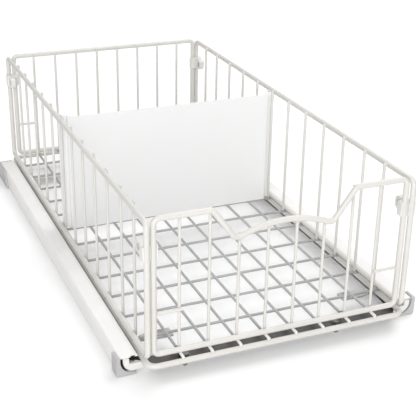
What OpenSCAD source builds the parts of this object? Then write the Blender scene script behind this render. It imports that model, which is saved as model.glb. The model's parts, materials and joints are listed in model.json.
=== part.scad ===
// Pull-out basket for a kitchen base cabinet.
// A welded wire tray with four wire walls rides on two low slides, and a lift-out divider
// splits it in two. The front is toward -Y and up is +Z. The origin is the middle of the
// footprint, on the cabinet floor that the rails are screwed to. Sizes are in millimetres.

/* [Basket] */
// Distance between the front and back wall frames, centre to centre
basket_depth = 525; // [450:1:600]
// Distance between the two side wall frames, centre to centre
basket_width = 259; // [244:0.1:320]
// Height of a side wall frame, centre to centre
side_height = 131.5; // [125:0.5:180]
// Height of the front and back wall frames, centre to centre
end_height = 130.9; // [125:0.1:180]
// Distance between the two uprights that meet at a corner
corner_pair = 6.5; // [6.2:0.1:9]
// How far the first side wall bars stand behind the first cross wire
first_bar_back = 4.5; // [0:0.5:8]
// How far the side walls reach past the front and back wall frames
side_overhang = 2; // [0:0.1:3]
// How far the tray rim stands out past the end walls
rim_overhang = 6.4; // [5:0.1:12]

/* [Wires] */
// Diameter of the wire of the rim and the wall frames
frame_wire = 5.4; // [4.5:0.1:6]
// Diameter of the wire of the grid and the bars
thin_wire = 2.8; // [2:0.1:3.4]
// Diameter of the short stiffening bars of the end walls
short_bar = 3; // [2:0.1:3.6]
// Pitch of the long wires and the end wall bars
long_pitch = 28; // [24:0.5:34]
// Pitch of the cross wires and the side wall bars
cross_pitch = 40.4; // [34:0.1:46]
// Bend radius at the corners of the wall frames
wall_bend = 5.5; // [5:0.5:14]
// Bend radius at the corners of the tray rim
rim_bend = 9; // [8:0.5:20]
// How deep a bar sinks into a frame wire where it is welded
weld = 0.2; // [0.1:0.05:0.5]
// Height of the short bars above the tray floor
short_bar_level = 44; // [30:1:80]

/* [Dip in the front wall] */
// Half width of the dip at the top wire
dip_half_top = 70; // [62:0.5:85]
// Half width of the dip between its two low points
dip_half_bottom = 47.3; // [40:0.1:55]
// Depth of the two low points below the top wire
dip_depth = 31.3; // [22:0.1:40]
// Slope of the arch where it leaves the low points, in degrees
arch_slope = 23; // [15:0.5:30]
// Bend radius at the corners of the dip
dip_bend = 6.8; // [5:0.1:8]

/* [Corner clips] */
// Height of a clip
clip_height = 13.5; // [10:0.5:20]
// Height of a clip's middle above the tray floor
clip_level = 105; // [60:0.1:110]
// Wall of a clip round the uprights
clip_wall = 1.2; // [1:0.1:1.6]
// How far a clip's lips reach past the middle of the uprights
clip_lip = 0.8; // [0.4:0.1:1.2]
// Height of a clip's ear
ear_height = 12.6; // [11:0.1:14]
// Thickness of the ear
ear_thickness = 5.6; // [5.4:0.1:7]
// Distance of the ear's screw from the uprights
ear_reach = 13.8; // [13.4:0.1:18]
// Diameter of the screw through the ear
ear_screw = 3; // [2.5:0.1:3.2]

/* [Divider] */
// Number of the wall bar that holds the divider, counted from the front
divider_bar = 7; // [3:1:10]
// Height of the divider
divider_height = 131; // [90:1:170]
// Thickness of the divider
divider_sheet = 1.5; // [1.2:0.1:2]
// How far its sides step back to pass behind the bar
divider_step = 6.4; // [5.5:0.1:8]
// Distance between the step and the bar
divider_room = 4.9; // [1:0.1:6]
// How far its sides fold back behind the bar
divider_flange = 10; // [6:0.5:20]
// Gap between the divider and the wires
divider_gap = 0.4; // [0.3:0.05:0.6]

/* [Rails] */
// Length of a rail
rail_length = 498; // [430:1:520]
// Height of a rail
rail_height = 18.7; // [18.5:0.1:24]
// Width of a rail's flanges
rail_flange = 15.2; // [14.5:0.1:20]
// Thickness of the rail steel
rail_steel = 1.5; // [1:0.1:1.7]
// Outer bend radius of a rail
rail_bend = 2.5; // [2:0.1:4]
// Gap between the tray rim and the edge of a rail
rail_gap = 4.6; // [3.5:0.1:8]
// Distance from the front wall frame back to the front of a rail cap
rail_inset = 10; // [8:0.5:20]
// Distance from the front wall frame to the front pair of rail screws
front_screw = 80; // [70:1:95]
// Distance between the front and rear pairs of rail screws
screw_spacing = 352; // [300:1:380]
// Diameter of the screw holes in the rails
screw_hole = 4.5; // [3.5:0.1:5.5]
// Diameter of the screwdriver holes in the runners above them
access_hole = 8; // [7:0.5:8.5]

/* [Rail caps] */
// Thickness of the caps beside the rails
cap_side = 2.6; // [1.5:0.1:4]
// Thickness of the caps across the rail ends
cap_front = 2; // [1.5:0.1:3]
// Length of a front cap along the rail
front_cap_length = 13.5; // [10:0.5:30]
// Length of a rear cap along the rail
rear_cap_length = 49; // [30:0.5:60]
// Height of the glide pads under the runners
glide_height = 3.1; // [2.5:0.1:3.4]
// Length of the glide pads
glide_length = 40; // [20:1:50]
// Width of the glide pads
glide_width = 7; // [5:0.5:8]

/* [Runners] */
// Travel of the basket
travel = 375; // [200:1:380]
// Thickness of the runner steel
runner_steel = 2; // [1.5:0.1:2.2]
// Height of a runner
runner_height = 10.8; // [10:0.1:11]
// Width of a runner's foot
runner_foot = 12.1; // [11.8:0.1:14]
// Outer bend radius of a runner
runner_bend = 5; // [4:0.1:5.5]
// Gap between a runner and the web of its rail
runner_gap = 2.4; // [2:0.1:3]
// Length of a runner
runner_length = 494; // [430:1:494]
// Thickness of the nose plugs
nose_plate = 2.5; // [1.5:0.1:4]
// Radius of the lower corner of the nose plugs
nose_corner = 9.5; // [8:0.1:10]
// Radius of the rear wheels
wheel_radius = 6.6; // [6:0.1:7]
// Width of the rear wheels
wheel_width = 5; // [3:0.1:6]
// Diameter of the wheel axles
axle = 4; // [3:0.1:5]
// Radial clearance of the wheels on their axles
axle_gap = 0.05; // [0.02:0.01:0.1]
// Running gap between pieces that slide or turn past each other
running_gap = 0.3; // [0.2:0.05:0.4]

/* [Crossbars] */
// Thickness of the crossbars
bar_steel = 3; // [2.5:0.1:3.5]
// How far the ends of the crossbars step down to the runners
bar_step = 2; // [1:0.1:3]
// Depth of the front crossbar
front_bar = 20; // [16:0.5:30]
// Depth of the rear crossbar
rear_bar = 28; // [20:0.5:40]
// Distance from the rear wall frame to the rear edge of the rear crossbar
rear_bar_inset = 35; // [33:0.5:60]
// Distance of the tray screws from the wires that they hold
tray_screw_offset = 6.4; // [6:0.1:9]
// Diameter of the tray screws
tray_screw = 4; // [3:0.1:5]
// Thickness of the tray clips
tray_clip = 0.8; // [0.6:0.1:1]
// Thickness of the side straps
strap_steel = 2; // [1.5:0.1:2.4]

/* [Hidden] */

LEFT = -1;
RIGHT = 1;
FRONT = -1;
REAR = 1;
ROUND = 48;
BEND_ROUND = 64;
// Gap between fixed pieces that rest on each other
seat = 0.05;
// A bend is this much thicker than its wire, and a straight reaches this far into it
swell = 0.02;
lap = 0.2;
// Something longer than any wall that it cuts through
through = 60;

// Places across the width
half_width = basket_width / 2;
end_upright_x = half_width - corner_pair;
rim_side_x = half_width + frame_wire / 2;
rail_edge_x = rim_side_x + rail_gap;
rail_side_x = rail_edge_x + rail_flange;
runner_side_x = rail_side_x - rail_steel - runner_gap;
foot_edge_x = runner_side_x - runner_foot;
side_bar_x = half_width - (frame_wire + thin_wire) / 2 + weld;
screw_x = runner_side_x - runner_steel - access_hole / 2 - 0.2;

// Places along the depth
front_y = -basket_depth / 2;
back_y = basket_depth / 2;
end_bar_offset = (frame_wire + thin_wire) / 2 - weld;
cap_y = front_y + rail_inset;
rail_front_y = cap_y + cap_front + seat;
rail_rear_y = rail_front_y + rail_length;
runner_front_y = cap_y + nose_plate + seat;
runner_rear_y = runner_front_y + runner_length;

// Levels, from the floor up
glide_z = rail_steel + glide_height;
foot_z = glide_z + running_gap;
foot_top_z = foot_z + runner_steel;
bar_end_z = foot_top_z + seat;
bar_z = bar_end_z + bar_step;
bar_top_z = bar_z + bar_steel;
rim_z = bar_top_z + seat + frame_wire / 2;
long_z = rim_z + frame_wire / 2 + seat + thin_wire / 2;
cross_z = long_z - thin_wire - seat;
side_low_z = rim_z + frame_wire + seat;
side_high_z = side_low_z + side_height;
end_low_z = long_z + thin_wire / 2 + seat + frame_wire / 2;
end_high_z = end_low_z + end_height;

// The grid: long wires stay between the end uprights, cross wires share the depth equally
long_side = floor((end_upright_x - (frame_wire + thin_wire) / 2) / long_pitch + 0.5);
long_xs = [for (k = [0.5 - long_side : 1 : long_side - 0.5]) k * long_pitch];
cells = round(basket_depth / cross_pitch);
cross_ys = [for (k = [1 : cells - 1]) front_y + k * basket_depth / cells];

// The dip: straight sides down to two low bends, and one wide arch between them
dip_slope = atan2(dip_depth, dip_half_top - dip_half_bottom);
low_cut = dip_bend * tan((dip_slope + arch_slope) / 2);
arch_line = dip_half_bottom / cos(arch_slope);
arch_radius = (arch_line - low_cut - 3 * lap) / tan(arch_slope);
low_z = end_high_z - dip_depth;
arch_z = low_z + dip_half_bottom * tan(arch_slope) - arch_radius / cos(arch_slope);

// The wheels stand on the rails, behind the rear crossbar
wheel_clear = 2.9;
wheel_z = rail_steel + running_gap + wheel_radius;
wheel_side_x = runner_side_x - runner_steel - 2 * running_gap;
rear_bar_y = back_y - rear_bar_inset;
wheel_y = rear_bar_y + wheel_radius + wheel_clear;
foot_rear_y = rear_bar_y + 1;
stop_reach = sqrt(pow(wheel_radius, 2) - pow(wheel_z - glide_z, 2));
stop_y = wheel_y - travel - stop_reach - running_gap;
stop_length = 10;

// ---- helpers -------------------------------------------------------------------------

function unit(v) = v / norm(v);
function flat(p) = [p.x, p.y];
function heading(v) = atan2(v.y, v.x);
function turning(a, b, c) =
  let (u = unit(flat(b - a)), v = unit(flat(c - b))) atan2(u.x * v.y - u.y * v.x, u * v);
function bend_cut(a, b, c) = b.z * tan(abs(turning(a, b, c)) / 2);
function mirrored(points) = [for (k = [len(points) - 1 : -1 : 0]) [-points[k].x, points[k].y, points[k].z]];

// Draws the children on the right side as they are, or mirrored on the left
module on_side(side) mirror([side < 0 ? 1 : 0, 0, 0]) children();

// Extrudes a drawing of the XZ plane along Y
module along_y(from, to) translate([0, to, 0]) rotate([90, 0, 0]) linear_extrude(to - from) children();

// Extrudes a drawing of the YZ plane along X
module along_x(from, to) translate([from, 0, 0]) rotate([90, 0, 90]) linear_extrude(to - from) children();

module box2(x0, x1, y0, y1) translate([x0, y0]) square([x1 - x0, y1 - y0]);

module box3(x0, x1, y0, y1, z0, z1) translate([x0, y0, z0]) cube([x1 - x0, y1 - y0, z1 - z0]);

module rod_x(x0, x1, y, z, d) translate([x0, y, z]) rotate([0, 90, 0]) cylinder(h = x1 - x0, d = d, $fn = ROUND);

module rod_y(x, y0, y1, z, d) translate([x, y1, z]) rotate([90, 0, 0]) cylinder(h = y1 - y0, d = d, $fn = ROUND);

module rod_z(x, y, z0, z1, d) translate([x, y, z0]) cylinder(h = z1 - z0, d = d, $fn = ROUND);

// A closed loop of bent wire in the XY plane, from points [x, y, bend radius]
module bent_loop(points) {
  count = len(points);
  for (i = [0 : count - 1]) {
    before = points[i];
    here = points[(i + 1) % count];
    after = points[(i + 2) % count];
    last = points[(i + 3) % count];
    way_in = unit(flat(here - before));
    way_out = unit(flat(after - here));
    angle = turning(before, here, after);
    inward = [-way_in.y, way_in.x] * sign(angle);
    centre = flat(here) - way_in * bend_cut(before, here, after) + inward * here.z;
    translate([centre.x, centre.y, 0])
      rotate([0, 0, heading(-inward) - (angle < 0 ? -angle : 0)])
        rotate_extrude(angle = abs(angle), $fn = BEND_ROUND)
          translate([here.z, 0]) circle(d = frame_wire + 2 * swell, $fn = ROUND);
    start = flat(here) + way_out * (bend_cut(before, here, after) - lap);
    end = flat(after) - way_out * (bend_cut(here, after, last) - lap);
    translate([start.x, start.y, 0])
      rotate([0, 90, heading(end - start)])
        cylinder(h = norm(end - start), d = frame_wire, $fn = ROUND);
  }
}

function frame_points(x0, x1, y0, y1, bend) =
  [[x0, y0, bend], [x1, y0, bend], [x1, y1, bend], [x0, y1, bend]];

// A rectangle with its two outer corners rounded, for the folded rail
module fold2(x0, x1, y0, y1, r) {
  box2(x0, x1 - r, y0, y1);
  box2(x0, x1, y0 + r, y1 - r);
  for (y = [y0 + r, y1 - r]) translate([x1 - r, y]) circle(r, $fn = ROUND);
}

// A rectangle with its lower outer corner rounded, for the runner and its nose
module corner2(x0, x1, y0, y1, r) {
  box2(x0, x1 - r, y0, y1);
  box2(x0, x1, y0 + r, y1);
  intersection() {
    translate([x1 - r, y0 + r]) circle(r, $fn = ROUND);
    box2(x1 - r - lap, x1, y0, y0 + r);
  }
}

// ---- the wire tray ---------------------------------------------------------------------

module tray_rim() color("whitesmoke")
  translate([0, 0, rim_z])
    bent_loop(frame_points(-half_width, half_width, front_y - rim_overhang, back_y + rim_overhang, rim_bend));

module long_wires() color("whitesmoke")
  for (x = long_xs)
    rod_y(x, front_y - rim_overhang - frame_wire / 2, back_y + rim_overhang + frame_wire / 2, long_z, thin_wire);

module cross_wires() color("whitesmoke") {
  reach = half_width - frame_wire / 2 - seat;
  for (y = cross_ys) rod_x(-reach, reach, y, cross_z, thin_wire);
}

// ---- the walls -------------------------------------------------------------------------

module side_wall(side) color("whitesmoke") on_side(side) {
  translate([half_width, 0, 0])
    rotate([90, 0, 90])
      bent_loop(frame_points(front_y - side_overhang, back_y + side_overhang, side_low_z, side_high_z, wall_bend));
  for (k = [0 : len(cross_ys) - 1])
    rod_z(side_bar_x, cross_ys[k] + (k == 0 ? first_bar_back : 0), cross_z + thin_wire / 2 + seat,
          side_high_z + frame_wire / 2 - weld, thin_wire);
}

module left_wall() side_wall(LEFT);
module right_wall() side_wall(RIGHT);

// Height of the dipped top wire's centre at a distance from the middle
function dip_height(x) =
  let (
    top_cut = dip_bend * tan(dip_slope / 2),
    bend_x = dip_half_top + top_cut,
    low_x = dip_half_bottom + low_cut * cos(dip_slope) - dip_bend * sin(dip_slope),
    low_centre_z = low_z + low_cut * sin(dip_slope) + dip_bend * cos(dip_slope)
  )
  x >= bend_x ? end_high_z :
  x >= dip_half_top - top_cut * cos(dip_slope) ?
    end_high_z - dip_bend + sqrt(pow(dip_bend, 2) - pow(x - bend_x, 2)) :
  x >= dip_half_bottom + low_cut * cos(dip_slope) ? low_z + (x - dip_half_bottom) * tan(dip_slope) :
  x >= dip_half_bottom - low_cut * cos(arch_slope) ?
    low_centre_z - sqrt(pow(dip_bend, 2) - pow(x - low_x, 2)) :
  arch_z + sqrt(pow(arch_radius, 2) - pow(x, 2));

// Bars inside an end wall, from the long wires up to the top wire, and the two short bars
module end_bars(end, dipped) {
  bar_y = end * (basket_depth / 2 - end_bar_offset);
  short_y = end * (basket_depth / 2 - end_bar_offset + (thin_wire + short_bar) / 2 - weld);
  bar_low_z = long_z + thin_wire / 2 + seat;
  for (x = long_xs)
    rod_z(x, bar_y, bar_low_z, (dipped ? dip_height(abs(x)) : end_high_z) + frame_wire / 4, thin_wire);
  last_x = long_xs[len(long_xs) - 1];
  for (side = [LEFT, RIGHT]) on_side(side)
    rod_x(last_x - short_bar / 2, end_upright_x - frame_wire / 4, short_y, long_z + short_bar_level, short_bar);
}

module front_wall() color("whitesmoke") {
  half = [
    [end_upright_x, end_low_z, wall_bend],
    [end_upright_x, end_high_z, wall_bend],
    [dip_half_top, end_high_z, dip_bend],
    [dip_half_bottom, low_z, dip_bend]
  ];
  peak = [0, low_z + dip_half_bottom * tan(arch_slope), arch_radius];
  translate([0, front_y, 0]) rotate([90, 0, 0]) bent_loop(concat(half, [peak], mirrored(half)));
  end_bars(FRONT, true);
}

module back_wall() color("whitesmoke") {
  translate([0, back_y, 0])
    rotate([90, 0, 0]) bent_loop(frame_points(-end_upright_x, end_upright_x, end_low_z, end_high_z, wall_bend));
  end_bars(REAR, false);
}

// ---- corner clips ----------------------------------------------------------------------

clip_middle_x = (half_width + end_upright_x) / 2;
clip_z = long_z + clip_level;
ear_middle_x = corner_pair / 2 - 0.5;
ear_round = 4.6;
clip_back = 5.6;
clip_slot = 1.2;
clip_head = 7;
clip_head_height = 1.8;
clip_head_sink = 2.2;
clip_nut = 5.5;
clip_nut_height = 1.8;
clip_nut_sink = 1.6;

// Puts the children, drawn for the rear right corner, at any corner
module at_corner(side, end)
  mirror([side < 0 ? 1 : 0, 0, 0]) mirror([0, end < 0 ? 1 : 0, 0])
    translate([clip_middle_x, back_y, clip_z]) children();

// A block inside the corner whose lips snap round both uprights. Its thick ear lies in the
// plane of the side wall, and a slot between ear and block lets the lips spring.
module corner_clip(side, end) color("white") at_corner(side, end) difference() {
  outer = frame_wire + 2 * (seat + clip_wall);
  upright_places = [[-corner_pair / 2, 0], [corner_pair / 2, side_overhang]];
  union() {
    translate([0, 0, -clip_height / 2]) linear_extrude(clip_height) {
      intersection() {
        translate(upright_places[0]) circle(d = outer, $fn = ROUND);
        box2(-through, 0, -through, clip_lip);
      }
      intersection() {
        translate(upright_places[1]) circle(d = outer, $fn = ROUND);
        box2(0, through, -through, side_overhang + clip_lip);
      }
      box2(-outer / 2 - corner_pair / 2, outer / 2 + corner_pair / 2, -clip_back, 0);
    }
    along_x(ear_middle_x - ear_thickness / 2, ear_middle_x + ear_thickness / 2) mirror([1, 0])
      fold2(clip_back - 1, ear_reach + ear_height / 2, -ear_height / 2, ear_height / 2, ear_round);
  }
  for (place = upright_places) translate(place) rod_z(0, 0, -through, through, frame_wire + 2 * seat);
  box3(-through, ear_middle_x, -clip_back - clip_slot, -clip_back, -through, through);
  rod_x(-through, through, -ear_reach, 0, ear_screw + 2 * seat);
  rod_x(-through, ear_middle_x - ear_thickness / 2 + clip_head_sink, -ear_reach, 0, clip_head + 4 * seat);
  rod_x(ear_middle_x + ear_thickness / 2 - clip_nut_sink, through, -ear_reach, 0, clip_nut / cos(30) + 4 * seat);
}

module clip_front_left() corner_clip(LEFT, FRONT);
module clip_front_right() corner_clip(RIGHT, FRONT);
module clip_rear_left() corner_clip(LEFT, REAR);
module clip_rear_right() corner_clip(RIGHT, REAR);

// Socket screws sunk in the ears, with their heads inside the basket
module clip_screws() color("silver")
  for (side = [LEFT, RIGHT], end = [FRONT, REAR]) at_corner(side, end) difference() {
    head_base = ear_middle_x - ear_thickness / 2 + clip_head_sink - seat;
    union() {
      rod_x(head_base - clip_head_height, head_base, -ear_reach, 0, clip_head);
      rod_x(head_base - lap, ear_middle_x + ear_thickness / 2 - clip_nut_sink + clip_nut_height, -ear_reach, 0,
            ear_screw);
    }
    translate([head_base - clip_head_height - lap, -ear_reach, 0])
      rotate([0, 90, 0]) cylinder(h = clip_head_height * 0.7 + lap, d = ear_screw, $fn = 6);
  }

module clip_nuts() color("silver")
  for (side = [LEFT, RIGHT], end = [FRONT, REAR]) at_corner(side, end)
    translate([ear_middle_x + ear_thickness / 2 - clip_nut_sink + seat, -ear_reach, 0]) rotate([0, 90, 0])
      difference() {
        cylinder(h = clip_nut_height, d = clip_nut / cos(30), $fn = 6);
        translate([0, 0, -lap]) cylinder(h = clip_nut_height + 2 * lap, d = ear_screw + 2 * seat, $fn = ROUND);
      }

// ---- divider ---------------------------------------------------------------------------

// A folded sheet whose sides step back behind the wall bars, and then turn back along the walls
module divider() color("white") {
  bar_y = front_y + divider_bar * basket_depth / cells;
  plate_y = bar_y + thin_wire / 2 + divider_gap;
  face_y = plate_y - divider_step;
  step_in_x = side_bar_x - thin_wire / 2 - divider_room;
  side_x = half_width - frame_wire / 2 - 2 * divider_gap;
  fold = 3.5;
  translate([0, 0, long_z + thin_wire / 2 + running_gap]) linear_extrude(divider_height)
    for (side = [LEFT, RIGHT]) mirror([side < 0 ? 1 : 0, 0]) {
      box2(-1, step_in_x - fold, face_y, face_y + divider_sheet);
      intersection() {
        translate([step_in_x - fold, face_y + fold]) circle(fold, $fn = ROUND);
        box2(step_in_x - fold - lap, step_in_x, face_y, face_y + fold);
      }
      box2(step_in_x - divider_sheet, step_in_x, face_y + fold - lap, plate_y + divider_sheet);
      box2(step_in_x - divider_sheet, side_x, plate_y, plate_y + divider_sheet);
      box2(side_x - divider_sheet, side_x, plate_y, plate_y + divider_flange);
    }
}

// ---- rails and their caps --------------------------------------------------------------

module rail(side) color("white") on_side(side) difference() {
  along_y(rail_front_y, rail_rear_y) difference() {
    fold2(rail_edge_x, rail_side_x, 0, rail_height, rail_bend);
    fold2(rail_edge_x - 1, rail_side_x - rail_steel, rail_steel, rail_height - rail_steel, rail_bend - rail_steel);
  }
  for (y = [front_y + front_screw, front_y + front_screw + screw_spacing])
    rod_z(screw_x, y, -1, rail_steel + 1, screw_hole);
  rod_z(wheel_side_x - wheel_width / 2, stop_y - stop_length / 2, -1, rail_steel + 1, stop_peg + 2 * swell);
}

module left_rail() rail(LEFT);
module right_rail() rail(RIGHT);

cap_low_z = 1.2;
rear_cap_slant = 12;
cap_high_z = rail_height + 0.3;
cap_curve = 12.1;
cap_curve_x = runner_side_x - nose_corner;
glide_side_x = runner_side_x - 3.5;
cap_curve_z = foot_z + 10;

// The front cap wraps the rail's outer side and end, and carries the glide pad inside
module front_cap(side) color("lightgray") on_side(side) {
  along_x(rail_side_x + seat, rail_side_x + cap_side)
    box2(cap_y, cap_y + front_cap_length, cap_low_z, cap_high_z);
  along_y(cap_y, cap_y + cap_front) difference() {
    fold2(rail_edge_x - 1, rail_side_x + cap_side, 0.2, cap_high_z, rail_bend);
    translate([cap_curve_x, cap_curve_z]) circle(cap_curve, $fn = 96);
    box2(0, cap_curve_x + cap_curve, cap_curve_z, through);
    box2(0, cap_curve_x, cap_curve_z - cap_curve, through);
  }
  box3(glide_side_x - glide_width, glide_side_x, cap_y + cap_front / 2,
       cap_y + glide_length, rail_steel + seat, glide_z);
}

module front_cap_left() front_cap(LEFT);
module front_cap_right() front_cap(RIGHT);

// The rear cap closes the end of the rail and reaches forward along its outer side
module rear_cap(side) color("lightgray") on_side(side) {
  end_y = rail_rear_y + seat + cap_front;
  along_x(rail_side_x + seat, rail_side_x + cap_side)
    polygon([[end_y - rear_cap_length, cap_low_z], [end_y - rear_cap_length + rear_cap_slant, cap_high_z],
             [end_y, cap_high_z], [end_y, cap_low_z]]);
  along_y(rail_rear_y + seat, end_y)
    fold2(rail_edge_x, rail_side_x + cap_side, cap_low_z / 4, cap_high_z, rail_bend);
}

module rear_cap_left() rear_cap(LEFT);
module rear_cap_right() rear_cap(RIGHT);

stop_peg = 3;

// A block pegged into the rail that the wheel meets when the basket is right out
module rail_stop(side) color("lightgray") on_side(side) {
  box3(wheel_side_x - wheel_width, wheel_side_x, stop_y - stop_length, stop_y, rail_steel + seat, glide_z);
  rod_z(wheel_side_x - wheel_width / 2, stop_y - stop_length / 2, rail_steel / 4, rail_steel + 1, stop_peg);
}

module left_stop() rail_stop(LEFT);
module right_stop() rail_stop(RIGHT);

// ---- runners ---------------------------------------------------------------------------

rivet = 4;
rivet_head = 1.7 * rivet;
rivet_head_height = 1.3;
front_ear_y = [front_y + 20.5, front_y + 38.5];
front_bar_ahead = 4.5;
front_sweep = 7.6;
ear_sweep = 10;
front_rivet_y = (front_ear_y[0] + front_ear_y[1]) / 2;
rear_rivet_y = rear_bar_y - rear_bar / 2;
rivet_x = foot_edge_x + 0.8 * rivet;

// An angle with a round corner, its foot cut away at the rear where the wheel stands
module runner(side) color("dimgray") on_side(side) difference() {
  union() {
    along_y(runner_front_y, foot_rear_y) difference() {
      corner2(foot_edge_x, runner_side_x, foot_z, foot_z + runner_height, runner_bend);
      corner2(foot_edge_x - 1, runner_side_x - runner_steel, foot_z + runner_steel, through,
              runner_bend - runner_steel);
    }
    box3(runner_side_x - runner_steel, runner_side_x, foot_rear_y - 2, runner_rear_y,
         foot_z, foot_z + runner_height);
  }
  rod_x(0, rail_side_x, wheel_y, wheel_z, axle + 2 * swell);
  for (y = [front_y + front_screw, front_y + front_screw + screw_spacing])
    rod_z(screw_x, y, 0, through, access_hole);
  for (y = [front_rivet_y, rear_rivet_y, strap_y])
    rod_z(rivet_x, y, 0, through, rivet + 2 * swell);
}

module left_runner() runner(LEFT);
module right_runner() runner(RIGHT);

// The plug over the runner's front end, with a tongue that grips the foot
module nose(side) color("white") on_side(side) {
  upstand = 5.5;
  sill = 6.9;
  along_y(cap_y, cap_y + nose_plate) difference() {
    corner2(half_width, runner_side_x, foot_z, rail_height - rail_steel - running_gap, nose_corner);
    box2(0, runner_side_x - upstand, foot_z + sill, through);
  }
  box3(foot_edge_x + 1, runner_side_x - runner_bend, cap_y + nose_plate / 2, front_ear_y[0] - 1,
       foot_top_z + seat, foot_top_z + seat + runner_steel);
}

module left_nose() nose(LEFT);
module right_nose() nose(RIGHT);

// ---- crossbars, straps and their fasteners ---------------------------------------------

step_x = half_width + 2;
bar_end_x = runner_side_x - runner_bend - seat;

// Side view of a bar that steps down from under the rim to the runner's foot
module stepped2(x0, top, drop, steel) {
  low_top = top - drop;
  polygon([[x0, top - steel], [step_x, top - steel], [step_x + 2, low_top - steel], [bar_end_x, low_top - steel],
           [bar_end_x, low_top], [step_x + 2.8, low_top], [step_x + 0.8, top], [x0, top]]);
}

module bar_holes(bar_y, rivet_y, turn) {
  for (x = tray_screw_xs) rod_z(x * turn, bar_y, 0, through, tray_screw + 2 * seat);
  for (side = [LEFT, RIGHT]) rod_z(side * rivet_x, rivet_y, 0, through, rivet + 2 * swell);
}

front_bar_y = front_y - front_bar_ahead;
tray_screw_xs = [long_xs[0] + tray_screw_offset, long_xs[len(long_xs) - 2] - tray_screw_offset];
front_screw_y = front_bar_y + front_bar / 2;
rear_screw_y = rear_bar_y - rear_bar / 2;

// The front crossbar: a flat bar whose ends sweep back to ears on the runners
module front_crossbar() color("dimgray") difference() {
  for (side = [LEFT, RIGHT]) on_side(side) intersection() {
    along_y(front_bar_y, front_ear_y[1]) stepped2(-1, bar_top_z, bar_step, bar_steel);
    linear_extrude(through) polygon([
      [-1, front_bar_y], [half_width - front_sweep, front_bar_y], [half_width - 2 * seat, cap_y - 2 * running_gap],
      [half_width - 2 * seat, cap_y + nose_plate + running_gap], [half_width + 4, front_ear_y[0]],
      [bar_end_x, front_ear_y[0]], [bar_end_x, front_ear_y[1]], [half_width - 2, front_ear_y[1]],
      [half_width - ear_sweep, front_bar_y + front_bar], [-1, front_bar_y + front_bar]]);
  }
  bar_holes(front_screw_y, front_rivet_y, 1);
}

module rear_crossbar() color("white") difference() {
  for (side = [LEFT, RIGHT]) on_side(side)
    along_y(rear_bar_y - rear_bar, rear_bar_y) stepped2(-1, bar_top_z, bar_step, bar_steel);
  bar_holes(rear_screw_y, rear_rivet_y, -1);
}

strap_y = cross_ys[0] + 4;
strap_top_z = cross_z - thin_wire / 2 - seat;
strap_pad_x = long_xs[len(long_xs) - 1] - 8;
strap_half = 3;
strap_bend_x = half_width - 9;

// A tapered strap from the runner to the first cross wire, bent to pass under the rim
module strap(side) color("silver") on_side(side) difference() {
  under = bar_top_z - strap_top_z;
  intersection() {
    along_y(strap_y - 3 * strap_half, strap_y + 3 * strap_half) polygon([
      [strap_pad_x, strap_top_z - strap_steel], [strap_bend_x, strap_top_z - strap_steel],
      [strap_bend_x + 3, bar_top_z - strap_steel], [step_x, bar_top_z - strap_steel],
      [step_x + 2, bar_end_z], [bar_end_x, bar_end_z], [bar_end_x, bar_end_z + strap_steel],
      [step_x + 2.8, bar_end_z + strap_steel], [step_x + 0.8, bar_top_z], [strap_bend_x + 2.5, bar_top_z],
      [strap_bend_x - 0.5, strap_top_z], [strap_pad_x, strap_top_z]]);
    linear_extrude(through) polygon([
      [strap_pad_x, strap_y - 2 * strap_half], [strap_pad_x + 7 * strap_half, strap_y - 2 * strap_half],
      [half_width - 5, strap_y - strap_half], [bar_end_x, strap_y - strap_half],
      [bar_end_x, strap_y + strap_half], [half_width - 5, strap_y + strap_half],
      [strap_pad_x + 6 * strap_half, strap_y + 7], [strap_pad_x, strap_y + 7]]);
  }
  rod_z(rivet_x, strap_y, 0, through, rivet + 2 * swell);
}

module left_strap() strap(LEFT);
module right_strap() strap(RIGHT);

// Puts the children at each tray screw, on top of the bar, with the held wire toward -X
module at_tray_screws() {
  for (k = [0, 1]) {
    translate([tray_screw_xs[k], front_screw_y, bar_top_z]) mirror([k, 0, 0]) children();
    translate([-tray_screw_xs[k], rear_screw_y, bar_top_z]) mirror([1 - k, 0, 0]) children();
  }
}

screw_head = 7.4;
head_height = 1.8;
nut_height = 3.5;
nut_flats = 7;
dome = 5.2;
dome_height = 1.5;

module tray_screws() color("dimgray") at_tray_screws() {
  under = seat + tray_clip + seat;
  rod_z(0, 0, under, under + head_height, screw_head);
  rod_z(0, 0, -bar_steel - nut_height - 1, under + lap, tray_screw);
}

// Cap nuts under the bars
module tray_nuts() color("dimgray") at_tray_screws() translate([0, 0, -bar_steel - seat]) difference() {
  union() {
    translate([0, 0, -nut_height]) cylinder(h = nut_height, d = nut_flats / cos(30), $fn = 6);
    rod_z(0, 0, -nut_height - dome_height, -nut_height + lap, dome);
    translate([0, 0, -nut_height - dome_height]) sphere(d = dome - swell, $fn = ROUND);
  }
  rod_z(0, 0, -nut_height - 0.8 * dome_height, 1, tray_screw + 2 * swell);
}

// Hooks that the screws hold down on the long wires
module tray_clips() color("silver") at_tray_screws() difference() {
  wire_side = tray_screw_offset - thin_wire / 2 - seat;
  wire_top = long_z + thin_wire / 2 + seat - bar_top_z;
  hook = 4.2;
  union() {
    box3(-wire_side, screw_head / 2 + 1, -hook, hook, seat, seat + tray_clip);
    box3(-wire_side, -wire_side + tray_clip, running_gap, hook, seat, wire_top + tray_clip);
    box3(-wire_side - thin_wire, -wire_side + tray_clip, running_gap, hook, wire_top, wire_top + tray_clip);
  }
  rod_z(0, 0, -1, 2, tray_screw + 2 * seat);
}

// Rivets that join the crossbars and straps to the runners
module rivets() color("silver")
  for (side = [LEFT, RIGHT], place = [[front_rivet_y, bar_steel], [rear_rivet_y, bar_steel], [strap_y, strap_steel]]) {
    head_z = bar_end_z + place[1] + seat;
    rod_z(side * rivet_x, place[0], foot_z + seat, head_z + lap, rivet);
    rod_z(side * rivet_x, place[0], head_z, head_z + rivet_head_height, rivet_head);
  }

// ---- rear wheels -----------------------------------------------------------------------

axle_head = 1.2;

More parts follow.
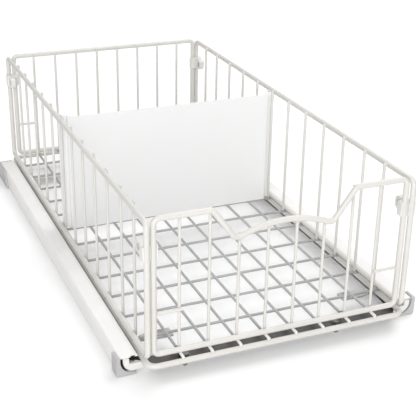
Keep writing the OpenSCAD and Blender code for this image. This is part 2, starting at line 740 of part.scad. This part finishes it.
module wheel_axles() color("silver")
  for (side = [LEFT, RIGHT]) on_side(side) {
    inner_x = wheel_side_x - wheel_width - running_gap;
    outer_x = runner_side_x + seat;
    rod_x(inner_x - axle_head, inner_x, wheel_y, wheel_z, 1.7 * axle);
    rod_x(inner_x - lap, outer_x + lap, wheel_y, wheel_z, axle);
    rod_x(outer_x, outer_x + axle_head, wheel_y, wheel_z, 1.5 * axle);
  }

// A wheel with chamfered edges, a sunk web and a hub that runs close to the runner
module wheel(side) color("white") on_side(side)
  translate([wheel_side_x - wheel_width, wheel_y, wheel_z]) rotate([0, 90, 0])
    rotate_extrude($fn = 96) {
      bore = axle / 2 + axle_gap;
      hub = bore + 1.3;
      tread = 1.8;
      edge = 0.7;
      polygon([[bore, 0], [wheel_radius - edge, 0], [wheel_radius, edge], [wheel_radius, wheel_width - edge],
               [wheel_radius - edge, wheel_width], [wheel_radius - tread, wheel_width],
               [wheel_radius - tread, wheel_width - edge], [hub, wheel_width - edge],
               [hub, wheel_width + running_gap], [bore, wheel_width + running_gap]]);
    }

module left_wheel() wheel(LEFT);
module right_wheel() wheel(RIGHT);

tray_rim();
long_wires();
cross_wires();
left_wall();
right_wall();
front_wall();
back_wall();
clip_front_left();
clip_front_right();
clip_rear_left();
clip_rear_right();
clip_screws();
clip_nuts();
divider();
left_rail();
right_rail();
front_cap_left();
front_cap_right();
rear_cap_left();
rear_cap_right();
left_stop();
right_stop();
left_runner();
right_runner();
left_nose();
right_nose();
front_crossbar();
rear_crossbar();
left_strap();
right_strap();
tray_screws();
tray_nuts();
tray_clips();
rivets();
wheel_axles();
left_wheel();
right_wheel();
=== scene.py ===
import json
import math

import bmesh
import bpy
from mathutils import Matrix, Vector


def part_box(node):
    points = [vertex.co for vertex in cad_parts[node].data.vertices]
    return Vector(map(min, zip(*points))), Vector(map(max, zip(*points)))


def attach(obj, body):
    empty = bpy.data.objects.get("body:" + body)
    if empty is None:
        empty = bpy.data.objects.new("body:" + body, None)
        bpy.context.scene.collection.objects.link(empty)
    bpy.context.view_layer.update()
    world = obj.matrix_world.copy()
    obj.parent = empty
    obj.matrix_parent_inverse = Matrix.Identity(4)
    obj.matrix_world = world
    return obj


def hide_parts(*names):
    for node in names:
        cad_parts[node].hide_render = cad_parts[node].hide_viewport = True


# A pull-out cabinet basket: the looks of its nodes, the pieces that the photograph shows
# otherwise than the CAD does, and a white studio. Lengths are in metres.

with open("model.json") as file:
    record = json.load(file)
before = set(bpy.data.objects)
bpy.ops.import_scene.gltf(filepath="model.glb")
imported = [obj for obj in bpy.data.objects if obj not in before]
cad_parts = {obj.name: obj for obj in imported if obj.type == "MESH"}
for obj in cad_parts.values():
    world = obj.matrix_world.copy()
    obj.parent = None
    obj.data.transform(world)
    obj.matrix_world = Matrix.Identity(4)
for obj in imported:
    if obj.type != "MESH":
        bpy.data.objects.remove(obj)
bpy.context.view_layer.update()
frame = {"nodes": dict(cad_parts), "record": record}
MM = 0.001

# ---- materials --------------------------------------------------------------------------


class Nodes:
    """A material's node tree, with short calls for the nodes that the looks share."""

    def __init__(self, name):
        self.material = bpy.data.materials.new(name)
        self.material.use_nodes = True
        self.tree = self.material.node_tree
        self.tree.nodes.clear()
        self.output = self.add("ShaderNodeOutputMaterial")

    def add(self, kind, **values):
        node = self.tree.nodes.new(kind)
        for key, value in values.items():
            setattr(node, key, value)
        return node

    def link(self, source, target):
        self.tree.links.new(source, target)

    def position(self):
        return self.add("ShaderNodeTexCoord").outputs["Object"]

    def noise(self, scale, detail, stretch=None):
        node = self.add("ShaderNodeTexNoise")
        node.inputs["Scale"].default_value = scale
        node.inputs["Detail"].default_value = detail
        place = self.position()
        if stretch:
            mapping = self.add("ShaderNodeMapping")
            mapping.inputs["Scale"].default_value = stretch
            self.link(place, mapping.inputs["Vector"])
            place = mapping.outputs["Vector"]
        self.link(place, node.inputs["Vector"])
        return node.outputs["Fac"]

    def ramp(self, factor, low, high, margin=0.3):
        """Runs from low to high, each a colour or a grey, with a flat margin at both ends."""
        node = self.add("ShaderNodeValToRGB")
        stops = ((margin, low), (1 - margin, high))
        for element, (place, value) in zip(node.color_ramp.elements, stops):
            element.position = place
            element.color = (*value, 1) if isinstance(value, tuple) else (value, value, value, 1)
        self.link(factor, node.inputs["Fac"])
        return node.outputs["Color"]

    def bump(self, height, strength, distance, normal=None):
        node = self.add("ShaderNodeBump")
        node.inputs["Strength"].default_value = strength
        node.inputs["Distance"].default_value = distance
        self.link(height, node.inputs["Height"])
        if normal:
            self.link(normal, node.inputs["Normal"])
        return node.outputs["Normal"]

    def clouding(self, dark, light):
        """The soft clouds in a coat's colour."""
        return self.ramp(self.noise(scale=22.0, detail=3.0), dark, light, margin=0.35)

    def uneven_gloss(self, roughness):
        """The uneven gloss of a coat, between two values of roughness."""
        return self.ramp(self.noise(scale=160.0, detail=4.0), *roughness)

    def orange_peel(self, strength):
        """The fine orange peel of a coat."""
        return self.bump(self.noise(scale=900.0, detail=3.0), strength, distance=0.15 * MM)

    def shader(self, colour, roughness, normal, **fixed):
        """A Principled shader with these three linked. Other sockets are set to a number."""
        node = self.add("ShaderNodeBsdfPrincipled")
        for key, value in fixed.items():
            node.inputs[key.replace("_", " ")].default_value = value
        self.link(colour, node.inputs["Base Color"])
        self.link(roughness, node.inputs["Roughness"])
        self.link(normal, node.inputs["Normal"])
        self.link(node.outputs["BSDF"], self.output.inputs["Surface"])


def coated(name, light, dark, roughness, peel, coat=0.0, metallic=0.0):
    """Powder coat, enamel or paint: soft clouding, uneven gloss and a fine orange peel."""
    made = Nodes(name)
    made.shader(made.clouding(dark, light), made.uneven_gloss(roughness), made.orange_peel(peel),
                Coat_Weight=coat, Coat_Roughness=0.15, Metallic=metallic)
    return made.material


def moulded(name, light, dark, roughness, grain=0.25):
    """Injection-moulded plastic: faint flow marks and a fine spark-eroded grain."""
    made = Nodes(name)
    colour = made.ramp(made.noise(scale=35.0, detail=4.0, stretch=(1.0, 0.3, 1.6)), dark, light)
    gloss = made.ramp(made.noise(scale=240.0, detail=3.0), *roughness)
    normal = made.bump(made.noise(scale=2600.0, detail=2.0), grain, distance=0.1 * MM)
    made.shader(colour, gloss, normal)
    return made.material


def plated(name, light, dark, roughness):
    """Zinc-plated steel: cool spangles and a drawn grain."""
    made = Nodes(name)
    spangle = made.add("ShaderNodeTexVoronoi")
    spangle.inputs["Scale"].default_value = 420.0
    made.link(made.position(), spangle.inputs["Vector"])
    colour = made.ramp(spangle.outputs["Color"], dark, light, margin=0.2)
    gloss = made.ramp(made.noise(scale=300.0, detail=4.0), *roughness)
    drawn = made.noise(scale=700.0, detail=2.0, stretch=(1.0, 0.2, 1.0))
    made.shader(colour, gloss, made.bump(drawn, strength=0.2, distance=0.1 * MM), Metallic=0.9)
    return made.material


def dark_enamel(name, light, dark, roughness):
    """Black glossy enamel on rolled steel: ripples that break up what it mirrors."""
    made = Nodes(name)
    colour = made.ramp(made.noise(scale=60.0, detail=4.0), dark, light)
    gloss = made.ramp(made.noise(scale=120.0, detail=4.0), *roughness)
    ripple = made.bump(made.noise(scale=40.0, detail=2.0), strength=0.05, distance=0.3 * MM)
    normal = made.bump(made.noise(scale=800.0, detail=3.0), 0.05, 0.1 * MM, ripple)
    made.shader(colour, gloss, normal)
    return made.material


def grid_coat_painted_shade(shaded_inside_light, shaded_inside_dark, in_front, roughness, peel):
    """The tray grid's coat: white in front of the basket, and inside it a grey that is painted shade."""
    # Painted shade: inside the basket the wires are coloured grey, and from grey_until to white_from this
    # turns to the white in front.
    grey_until, white_from = -258.5 * MM, -262.5 * MM
    made = Nodes("grid_coat_painted_shade")
    inside = made.clouding(shaded_inside_dark, shaded_inside_light)
    depth = made.add("ShaderNodeSeparateXYZ")
    made.link(made.position(), depth.inputs["Vector"])
    front = made.add("ShaderNodeMapRange")
    front.inputs["From Min"].default_value = grey_until
    front.inputs["From Max"].default_value = white_from
    made.link(depth.outputs["Y"], front.inputs["Value"])
    both = made.add("ShaderNodeMix", data_type="RGBA")
    made.link(front.outputs["Result"], both.inputs["Factor"])
    made.link(inside, both.inputs["A"])
    both.inputs["B"].default_value = (*in_front, 1)
    made.shader(both.outputs["Result"], made.uneven_gloss(roughness), made.orange_peel(peel))
    return made.material


# The looks of the record's slots.
LOOKS = {
    "white_wire": coated("wire_coat", light=(0.72, 0.705, 0.67), dark=(0.68, 0.665, 0.63),
                         roughness=(0.34, 0.48), peel=0.30, coat=0.1),
    "rail_enamel": coated("rail_coat", light=(0.89, 0.875, 0.855), dark=(0.86, 0.845, 0.83),
                          roughness=(0.30, 0.42), peel=0.25, coat=0.2),
    "clip_plastic": moulded("clip_moulding", light=(0.80, 0.80, 0.77), dark=(0.76, 0.76, 0.73),
                            roughness=(0.28, 0.40)),
    "divider_plastic": moulded("divider_sheet", light=0.87, dark=0.865, roughness=(0.30, 0.33),
                               grain=0.01),
    "cap_plastic": moulded("cap_moulding", light=0.50, dark=0.45, roughness=(0.40, 0.55)),
    "nose_plastic": moulded("nose_moulding", light=(0.80, 0.80, 0.77), dark=(0.76, 0.76, 0.74),
                            roughness=(0.25, 0.38)),
    "dark_steel": dark_enamel("dark_enamel", light=(0.022, 0.021, 0.019), dark=(0.012, 0.012, 0.011),
                              roughness=(0.10, 0.18)),
    "zinc_steel": plated("zinc_plate", light=0.62, dark=(0.50, 0.50, 0.51), roughness=(0.30, 0.45)),
    "wheel_nylon": moulded("wheel_moulding", light=(0.80, 0.80, 0.77), dark=(0.76, 0.76, 0.73),
                           roughness=(0.35, 0.50)),
}

# Looks of single nodes, in place of their slot's.
# Black paint, the front bar's own colour. On the runners it is in part painted shade: they are kept black
# so the gaps into the rail channels read black.
BLACK_PAINT_AND_RUNNER_SHADE = dict(light=(0.050, 0.046, 0.040), dark=(0.040, 0.037, 0.032), roughness=(0.45, 0.60),
                   peel=0.2)
# The grid's grey inside the basket is painted shade.
GRID_COAT_PAINTED_SHADE = grid_coat_painted_shade(shaded_inside_light=(0.46, 0.46, 0.455), shaded_inside_dark=(0.40, 0.40, 0.395),
                      in_front=(0.80, 0.79, 0.77), roughness=(0.40, 0.55), peel=0.3)
# Painted shade: the straps under the tray are given a mid grey for the shade they lie in.
STRAP_PAINTED_SHADE = coated("strap_painted_shade", light=0.50, dark=0.43, roughness=(0.50, 0.65), peel=0.2,
                     metallic=0.2)
# The runners' black is in part painted shade, for the shade inside the rail channels.
RUNNER_BLACK_AND_SHADE = coated("runner_black_and_shade", **BLACK_PAINT_AND_RUNNER_SHADE)
OWN_LOOKS = {
    "long_wires": GRID_COAT_PAINTED_SHADE,
    "cross_wires": GRID_COAT_PAINTED_SHADE,
    "left_strap": STRAP_PAINTED_SHADE,
    "right_strap": STRAP_PAINTED_SHADE,
    "left_runner": RUNNER_BLACK_AND_SHADE,
    "right_runner": RUNNER_BLACK_AND_SHADE,
    "tray_clips": coated("clip_plate", light=(0.09, 0.09, 0.085), dark=(0.06, 0.06, 0.055),
                         roughness=(0.35, 0.50), peel=0.2),
    "tray_screws": coated("screw_plate", light=(0.16, 0.155, 0.14), dark=(0.11, 0.105, 0.095),
                          roughness=(0.30, 0.45), peel=0.2),
    "tray_nuts": coated("nut_plate", light=(0.34, 0.34, 0.33), dark=(0.26, 0.26, 0.25),
                        roughness=(0.30, 0.45), peel=0.2, metallic=0.4),
}


def dress_nodes():
    """Gives every CAD node its own look, or else its slot's."""
    slots = {part["node"]: part["material_slot"] for part in frame["record"]["subparts"]}
    for name, node in frame["nodes"].items():
        for slot in node.material_slots:
            slot.material = OWN_LOOKS.get(name, LOOKS[slots[name]])


dress_nodes()

# ---- pieces -----------------------------------------------------------------------------

FRAME_WIRE, THIN_WIRE = 5.4 * MM, 2.8 * MM
FRAME_SIDES, THIN_SIDES = 24, 16
BEND_STEPS = 7
# A cut wire end narrows to END_SHARE of its radius over END_CROP of its radius.
END_CROP, END_SHARE = 0.3, 0.7

LONG_WIRES, LONG_PITCH = 8, 28 * MM
CROSS_WIRES, CROSS_PITCH = 12, 40.9 * MM
CROSS_DROP = 0.4 * MM
LONG_INSET, CROSS_INSET = 1.6 * MM, 1.4 * MM
# Half sizes of the weld beads in x, y and z.
RIM_BEAD = (1.7 * MM, 1.2 * MM, 0.9 * MM)
CROSSING_BEAD = (1.75 * MM, 1.75 * MM, 1.1 * MM)
WALL_BEAD = (0.8 * MM, 1.6 * MM, 1.5 * MM)
# Where the beads sit: in from a long wire's end, below its axis, and outside a wall bar's axis.
RIM_BEAD_INSET, RIM_BEAD_DROP = 1.1 * MM, 1.0 * MM
CROSSING_BEAD_DROP = 0.35 * MM
WALL_BEAD_SHIFT = 1.3 * MM

WALL_BEND = 5.5 * MM
END_BAR_SHIFT = 4.5 * MM
# A wall bar sits this deep in the frame wire, and starts and ends this far down.
BAR_SINK, BAR_FOOT_DROP, BAR_TOP_DROP = 0.2 * MM, 0.1 * MM, 0.3 * MM

BAR_STEEL, BAR_DEPTH, EAR_DEPTH = 1.6 * MM, 20 * MM, 18 * MM
BAR_BEVEL = 0.4 * MM

LIP_STEEL = 1.5 * MM
LIP_GAP, LIP_OVERLAP = 1.7 * MM, 4 * MM
LIP_SKIN = 0.01 * MM
LIP_BEVEL = 0.15 * MM
LIP_STEPS = 8


def piece_from(name, mesh_data, look, body, bevel=0.0):
    """Links a bmesh as a piece that rides on a body, with its edges broken by a bevel."""
    mesh = bpy.data.meshes.new(name)
    bmesh.ops.recalc_face_normals(mesh_data, faces=mesh_data.faces)
    mesh_data.to_mesh(mesh)
    mesh_data.free()
    piece = bpy.data.objects.new(name, mesh)
    bpy.context.scene.collection.objects.link(piece)
    mesh.materials.append(look)
    if bevel:
        edges = piece.modifiers.new("edges", "BEVEL")
        edges.width = bevel
        edges.segments = 3
        edges.limit_method = "ANGLE"
    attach(piece, body)
    return piece


def front_bar():
    """The front crossbar as the photograph shows it: a thin bar whose edge the rim hides."""
    low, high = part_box("front_crossbar")
    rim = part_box("tray_rim")[1].x
    front, back, end = low.y + 0.5 * MM, high.y, high.x
    ear_front = back - EAR_DEPTH
    # The right half of the outline, from the front edge round the ear to the back edge.
    half = [(rim - 13 * MM, front), (rim - 3 * MM, front + 12 * MM), (rim + 1.5 * MM, ear_front),
            (end, ear_front), (end, back), (rim - 4 * MM, back), (rim - 6.5 * MM, front + BAR_DEPTH)]
    outline = half + [(-x, y) for x, y in reversed(half)]
    underside = high.z - BAR_STEEL
    made = bmesh.new()
    face = made.faces.new([made.verts.new((x, y, underside)) for x, y in outline])
    top = bmesh.ops.extrude_face_region(made, geom=[face])["geom"]
    bmesh.ops.translate(made, vec=(0, 0, BAR_STEEL),
                        verts=[part for part in top if isinstance(part, bmesh.types.BMVert)])
    # Beside the rim the bar steps down to its ears.
    step_start, step_end = rim - 0.7 * MM, rim + 2 * MM
    for place in (-step_end, -step_start, step_start, step_end):
        bmesh.ops.bisect_plane(made, geom=made.verts[:] + made.edges[:] + made.faces[:],
                               plane_co=(place, 0, 0), plane_no=(1, 0, 0))
    for vertex in made.verts:
        share = (abs(vertex.co.x) - step_start) / (step_end - step_start)
        vertex.co.z -= (underside - low.z) * min(max(share, 0), 1)
    look = coated("bar_enamel", **BLACK_PAINT_AND_RUNNER_SHADE)
    bar = piece_from("front_bar", made, look, "carriage", BAR_BEVEL)
    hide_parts("front_crossbar")


def bent(corners, radius):
    """The closed line through the corners with each bend rounded."""
    line = []
    for i, here in enumerate(corners):
        back = (corners[i - 1] - here).normalized()
        ahead = (corners[(i + 1) % len(corners)] - here).normalized()
        opening = back.angle(ahead)
        cut = radius / math.tan(opening / 2)
        middle = here + (back + ahead).normalized() * radius / math.sin(opening / 2)
        start, end = here + back * cut - middle, here + ahead * cut - middle
        sweep = start.angle(end)
        for k in range(BEND_STEPS + 1):
            t = k / BEND_STEPS
            line.append(middle + start * math.sin((1 - t) * sweep) / math.sin(sweep)
                        + end * math.sin(t * sweep) / math.sin(sweep))
    return line


def tube(made, stations, radius, sides, closed):
    """Skins a round wire over stations, each a place and its share of the radius."""
    count = len(stations)
    side, rings = None, []
    for i, (place, share) in enumerate(stations):
        before = stations[i - 1][0] if closed or i else place
        after = stations[(i + 1) % count][0] if closed or i < count - 1 else place
        way = (after - before).normalized()
        side = way.orthogonal() if side is None else side - way * side.dot(way)
        side = side.normalized()
        across = way.cross(side)
        turns = (2 * math.pi * k / sides for k in range(sides))
        rings.append([made.verts.new(place + (side * math.cos(a) + across * math.sin(a)) * radius * share)
                      for a in turns])
    for one, two in zip(rings, rings[1:] + rings[:1] if closed else rings[1:]):
        for k in range(sides):
            made.faces.new((one[k], one[(k + 1) % sides], two[(k + 1) % sides], two[k]))
    if not closed:
        made.faces.new(rings[0])
        made.faces.new(rings[-1])


def cut_wire(made, start, end):
    """A straight thin wire, its cut ends with a broken edge."""
    radius = THIN_WIRE / 2
    crop = (end - start).normalized() * (END_CROP * radius)
    stations = [(start, END_SHARE), (start + crop, 1), (end - crop, 1), (end, END_SHARE)]
    tube(made, stations, radius, THIN_SIDES, closed=False)


def weld(made, place, size):
    """A small uneven bead where two wires are welded. Its lumps depend on its place."""
    bead = bmesh.ops.create_icosphere(made, subdivisions=2, radius=1)
    for vertex in bead["verts"]:
        along = vertex.co.copy()
        swell = 0.08 * math.sin(9 * along.x + 400 * place.y)
        ripple = 0.06 * math.sin(11 * along.z + 300 * place.x)
        vertex.co = place + Vector(along[k] * size[k] * (1 + swell + ripple) for k in range(3))


def smooth(made):
    for face in made.faces:
        face.smooth = True


def spread(count, pitch):
    """As many places at a pitch, centred on zero."""
    return [(k - (count - 1) / 2) * pitch for k in range(count)]


def tray_grid():
    """The tray's thin wires as photographed: both ways nearly level, lying on the rim.

    Returns the height of the cross wires' tops and their places along the tray.
    """
    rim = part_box("tray_rim")[1]
    made = bmesh.new()
    long_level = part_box("long_wires")[1].z - THIN_WIRE / 2
    cross_level = long_level - CROSS_DROP
    long_places, cross_places = spread(LONG_WIRES, LONG_PITCH), spread(CROSS_WIRES, CROSS_PITCH)
    long_end, cross_end = rim.y - LONG_INSET, rim.x - CROSS_INSET
    for x in long_places:
        cut_wire(made, Vector((x, -long_end, long_level)), Vector((x, long_end, long_level)))
        for side in (-1, 1):
            weld(made, Vector((x, side * (long_end - RIM_BEAD_INSET), long_level - RIM_BEAD_DROP)),
                 RIM_BEAD)
    for y in cross_places:
        cut_wire(made, Vector((-cross_end, y, cross_level)), Vector((cross_end, y, cross_level)))
        for x in long_places:
            weld(made, Vector((x, y, long_level - CROSSING_BEAD_DROP)), CROSSING_BEAD)
    smooth(made)
    grid = piece_from("tray_grid", made, OWN_LOOKS["long_wires"], "carriage")
    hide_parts("long_wires", "cross_wires")
    return cross_level + THIN_WIRE / 2, cross_places


def side_wall(node, cross_top, places):
    """A side wall as photographed: its frame stands on the cross wires' ends, above the rim."""
    low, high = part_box(node)
    side = -1 if low.x < 0 else 1
    outer = max(abs(low.x), abs(high.x)) - FRAME_WIRE / 2
    front, back = low.y + FRAME_WIRE / 2, high.y - FRAME_WIRE / 2
    foot, top = cross_top + FRAME_WIRE / 2, high.z - FRAME_WIRE / 2
    loop = ((front, foot), (back, foot), (back, top), (front, top))
    line = bent([Vector((side * outer, y, z)) for y, z in loop], WALL_BEND)
    made = bmesh.new()
    tube(made, [(place, 1) for place in line], FRAME_WIRE / 2, FRAME_SIDES, closed=True)
    bar = side * (outer - (FRAME_WIRE + THIN_WIRE) / 2 + BAR_SINK)
    bar_foot, bar_top = cross_top - BAR_FOOT_DROP, top + FRAME_WIRE / 2 - BAR_TOP_DROP
    for k, y in enumerate(places):
        if k in (0, len(places) - 1):
            y -= math.copysign(END_BAR_SHIFT, y)
        cut_wire(made, Vector((bar, y, bar_foot)), Vector((bar, y, bar_top)))
        for z in (foot, top):
            weld(made, Vector((bar + side * WALL_BEAD_SHIFT, y, z)), WALL_BEAD)
    smooth(made)
    wall = piece_from(node + "_wires", made, LOOKS["white_wire"], "carriage")
    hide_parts(node)


def rail_lip(node):
    """The folded inner edge of a rail, which reaches almost to the rim in the photograph."""
    low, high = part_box(node)
    side = -1 if low.x < 0 else 1
    edge = min(abs(low.x), abs(high.x))
    inner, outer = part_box("tray_rim")[1].x + LIP_GAP, edge + LIP_OVERLAP
    top, fold = high.z + LIP_SKIN, LIP_STEEL / 2
    profile = [(outer, top)]
    for k in range(LIP_STEPS + 1):
        turn = math.pi * (0.5 + k / LIP_STEPS)
        profile.append((inner + fold * (1 + math.cos(turn)), top - fold * (1 - math.sin(turn))))
    profile.append((outer, high.z - LIP_STEEL - LIP_SKIN))
    third = (high.y - low.y) * 0.33
    stations = ((low.y, LIP_BEVEL), (low.y + LIP_BEVEL, 0), (low.y + third + LIP_BEVEL, 0),
                (high.y - third - LIP_BEVEL, 0), (high.y - LIP_BEVEL, 0), (high.y, LIP_BEVEL))
    made = bmesh.new()
    rings = [[made.verts.new((side * (x + (crop if x < edge else 0)), y, z)) for x, z in profile]
             for y, crop in stations]
    for one, two in zip(rings, rings[1:]):
        for k in range(len(profile)):
            after = (k + 1) % len(profile)
            face = made.faces.new((one[k], one[after], two[after], two[k]))
            face.smooth = 1 <= k <= LIP_STEPS
    made.faces.new(rings[0])
    made.faces.new(rings[-1])
    piece_from(node + "_lip", made, LOOKS["rail_enamel"], "rails")


front_bar()
for rail in ("left_rail", "right_rail"):
    rail_lip(rail)
cross_top, cross_places = tray_grid()
for wall in ("left_wall", "right_wall"):
    side_wall(wall, cross_top, cross_places)

# ---- studio -----------------------------------------------------------------------------

# The camera, solved from the photograph's wire grid: angles in degrees, focal length and
# centre in the photograph's pixels, and Blender's sensor width in millimetres.
PHOTO = 416
AZIMUTH, ELEVATION, ROLL = 23.2715, 24.2106, 1.0682
CAMERA_PLACE = Vector((-365.39, -944.18, 490.17)) * MM
FOCAL_PIXELS = 971.13
CENTRE_PIXEL = (210.06, 207.317)
SENSOR = 36.0

LIGHT_TARGET = (0, 0, 0.05)
FLOOR_REACH = 6.0
WHITE = (1, 1, 1, 1)


def make_camera():
    data = bpy.data.cameras.new("camera")
    data.sensor_width = SENSOR
    data.lens = FOCAL_PIXELS / PHOTO * SENSOR
    data.shift_x = (PHOTO / 2 - CENTRE_PIXEL[0]) / PHOTO
    data.shift_y = (CENTRE_PIXEL[1] - PHOTO / 2) / PHOTO
    data.clip_start, data.clip_end = 0.05, 20.0
    camera = bpy.data.objects.new("camera", data)
    bpy.context.scene.collection.objects.link(camera)
    turn, tilt, roll = (math.radians(angle) for angle in (AZIMUTH, ELEVATION, ROLL))
    forward = Vector((math.sin(turn) * math.cos(tilt), math.cos(turn) * math.cos(tilt), -math.sin(tilt)))
    level = Vector((math.cos(turn), -math.sin(turn), 0))
    upright = level.cross(forward)
    right = level * math.cos(roll) + upright * math.sin(roll)
    up = upright * math.cos(roll) - level * math.sin(roll)
    axes = Matrix((right, up, -forward)).transposed().to_4x4()
    camera.matrix_world = Matrix.Translation(CAMERA_PLACE) @ axes
    bpy.context.scene.camera = camera


def make_light(name, place, size, power):
    """A square softbox that faces the basket."""
    data = bpy.data.lights.new(name, "AREA")
    data.shape = "RECTANGLE"
    data.size = data.size_y = size
    data.energy = power
    light = bpy.data.objects.new(name, data)
    light.location = place
    light.rotation_euler = (Vector(LIGHT_TARGET) - Vector(place)).to_track_quat("-Z", "Y").to_euler()
    bpy.context.scene.collection.objects.link(light)


def seen_by(tree, *rays):
    """A value of 1 for the two kinds of ray named, and of 0 for the others."""
    path = tree.nodes.new("ShaderNodeLightPath")
    either = tree.nodes.new("ShaderNodeMath")
    either.operation = "MAXIMUM"
    for k, ray in enumerate(rays):
        tree.links.new(path.outputs[ray], either.inputs[k])
    return either.outputs[0]


def make_floor():
    """A matt floor that the camera and mirrors see lifted, the more the further away.

    It so meets the white background. The lift doesn't light the object.
    """
    mesh = bpy.data.meshes.new("studio_floor")
    corners = [(x * FLOOR_REACH, y * FLOOR_REACH, 0) for x, y in ((-1, -1), (1, -1), (1, 1), (-1, 1))]
    mesh.from_pydata(corners, [], [(0, 1, 2, 3)])
    floor = bpy.data.objects.new("studio_floor", mesh)
    bpy.context.scene.collection.objects.link(floor)
    made = Nodes("studio_floor")
    matt = made.add("ShaderNodeBsdfDiffuse")
    matt.inputs["Color"].default_value = (0.80, 0.80, 0.80, 1)
    away = made.add("ShaderNodeVectorMath", operation="LENGTH")
    made.link(made.position(), away.inputs[0])
    lift = made.add("ShaderNodeMapRange")
    for name, value in (("From Min", 0.8), ("From Max", 2.5), ("To Min", 0.20), ("To Max", 0.70)):
        lift.inputs[name].default_value = value
    made.link(away.outputs["Value"], lift.inputs["Value"])
    strength = made.add("ShaderNodeMath", operation="MULTIPLY")
    made.link(seen_by(made.tree, "Is Camera Ray", "Is Glossy Ray"), strength.inputs[0])
    made.link(lift.outputs["Result"], strength.inputs[1])
    glow = made.add("ShaderNodeEmission")
    made.link(strength.outputs[0], glow.inputs["Strength"])
    both = made.add("ShaderNodeAddShader")
    made.link(matt.outputs[0], both.inputs[0])
    made.link(glow.outputs[0], both.inputs[1])
    made.link(both.outputs[0], made.output.inputs["Surface"])
    mesh.materials.append(made.material)


def make_world():
    """A background that looks white and lights the object less strongly."""
    world = bpy.data.worlds.new("studio")
    world.use_nodes = True
    tree = world.node_tree
    tree.nodes.clear()
    output = tree.nodes.new("ShaderNodeOutputWorld")
    back = tree.nodes.new("ShaderNodeBackground")
    strength = tree.nodes.new("ShaderNodeMapRange")
    strength.inputs["To Min"].default_value = 0.42
    strength.inputs["To Max"].default_value = 1.0
    tree.links.new(seen_by(tree, "Is Camera Ray", "Is Transmission Ray"), strength.inputs["Value"])
    tree.links.new(strength.outputs["Result"], back.inputs["Strength"])
    back.inputs["Color"].default_value = WHITE
    tree.links.new(back.outputs[0], output.inputs["Surface"])
    bpy.context.scene.world = world


make_camera()
make_world()
make_floor()
make_light("key", (1.1, 0.9, 2.1), size=2.4, power=47.0)
make_light("fill", (-1.0, -2.2, 1.1), size=2.2, power=50.0)
bpy.context.scene.view_settings.view_transform = "Standard"
